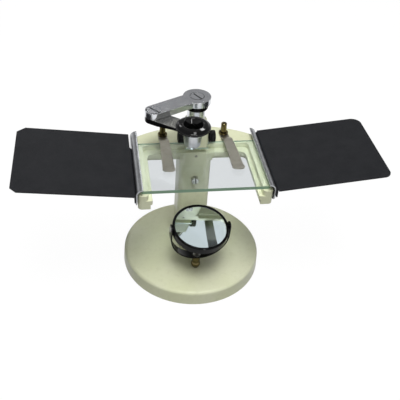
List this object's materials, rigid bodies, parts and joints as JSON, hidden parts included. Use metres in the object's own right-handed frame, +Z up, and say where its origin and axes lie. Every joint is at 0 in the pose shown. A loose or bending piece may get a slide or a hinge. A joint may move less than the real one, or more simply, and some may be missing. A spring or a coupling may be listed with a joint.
{
  "type": "dissecting microscope",
  "caption": "Dissecting microscope: round cast base, column, horseshoe stage with glass plate, clips, hand rests, tilting mirror and a folding lens arm on rack and pinion",
  "frame": {"origin": "centre of the round base's underside, on the table", "axes": "+Z up along the column, +X to the right as seen from the open front of the stage, -Y towards the user"},
  "size_m": [0.3138, 0.1336, 0.1736],
  "materials": {
    "enamel": "glossy cream stove enamel on cast iron",
    "steel": "bright turned steel",
    "plated_steel": "satin nickel plating",
    "clear_glass": "clear polished glass with a faint green edge",
    "brass": "turned brass, slightly dulled",
    "gloss_black": "glossy black lacquer",
    "knob_black": "polished black phenolic",
    "aluminium": "fine turned aluminium",
    "sheet_black": "satin black paint on sheet steel",
    "silvered_glass": "silvered plane mirror"
  },
  "bodies": {
    "stand": {"base": "enamel", "column": "enamel", "column_bolt": "steel", "stage": "enamel", "rest_studs": "steel", "glass_plate": "clear_glass", "rack_housing": "enamel", "sleeve_screw": "steel", "grub_screw": "steel", "pinion_bush": "brass", "clip_pins": "brass", "clip_washers": "brass", "mirror_stem": "brass", "stem_nut": "brass", "stem_screw": "steel"},
    "lens_post": {"focus_rod": "plated_steel", "rack": "brass", "collar": "gloss_black", "head_screw": "plated_steel"},
    "pinion_shaft": {"pinion": "brass", "knob_left": "knob_black", "knob_right": "knob_black"},
    "long_arm": {"upper_arm": "plated_steel"},
    "short_arm": {"joint_screw": "plated_steel", "lower_arm": "gloss_black", "eyecup": "knob_black", "lens_barrel": "aluminium", "lens": "clear_glass"},
    "left_clip": {"clip_left": "steel"},
    "right_clip": {"clip_right": "steel"},
    "left_rest": {"rest_left": "sheet_black", "bracket_left": "plated_steel", "rivets_left": "steel"},
    "right_rest": {"rest_right": "sheet_black", "bracket_right": "plated_steel", "rivets_right": "steel"},
    "fork": {"mirror_fork": "gloss_black", "pivot_screws": "steel"},
    "mirror": {"mirror_bezel": "gloss_black", "mirror_glass": "silvered_glass"}
  },
  "joints": [
    {"name": "focus_slide", "type": "slide", "parent": "stand", "child": "lens_post", "axis": [0, 0, 1], "range_m": [-0.008, 0.016]},
    {"name": "pinion_spin", "type": "hinge", "parent": "stand", "child": "pinion_shaft", "pos_m": [0, 0.0101, 0.1376], "axis": [1, 0, 0], "range_deg": [-112, 220]},
    {"name": "long_arm_swing", "type": "hinge", "parent": "lens_post", "child": "long_arm", "pos_m": [0, 0.0195, 0.17], "axis": [0, 0, 1], "range_deg": [-10, 60]},
    {"name": "short_arm_swing", "type": "hinge", "parent": "long_arm", "child": "short_arm", "pos_m": [-0.0396, -0.0016, 0.1657], "axis": [0, 0, 1], "range_deg": [-40, 22]},
    {"name": "left_clip_swivel", "type": "hinge", "parent": "stand", "child": "left_clip", "pos_m": [-0.0285, 0.029, 0.1275], "axis": [0, 0, 1], "range_deg": [-16, 8]},
    {"name": "right_clip_swivel", "type": "hinge", "parent": "stand", "child": "right_clip", "pos_m": [0.0285, 0.029, 0.1275], "axis": [0, 0, 1], "range_deg": [-8, 12]},
    {"name": "left_rest_lift", "type": "slide", "parent": "stand", "child": "left_rest", "axis": [0, 0, 1], "range_m": [0, 0.016]},
    {"name": "right_rest_lift", "type": "slide", "parent": "stand", "child": "right_rest", "axis": [0, 0, 1], "range_m": [0, 0.016]},
    {"name": "fork_swivel", "type": "hinge", "parent": "stand", "child": "fork", "pos_m": [0, -0.031, 0.01988], "axis": [0.0523, 0, 0.9986], "continuous": true},
    {"name": "mirror_tilt", "type": "hinge", "parent": "fork", "child": "mirror", "pos_m": [0.00235, -0.031, 0.06471], "axis": [0.9962, 0.0698, -0.0522], "continuous": true}
  ],
  "couplings": [
    {"joint": "pinion_spin", "follows": "focus_slide", "rad_per_m": 238.1}
  ]
}
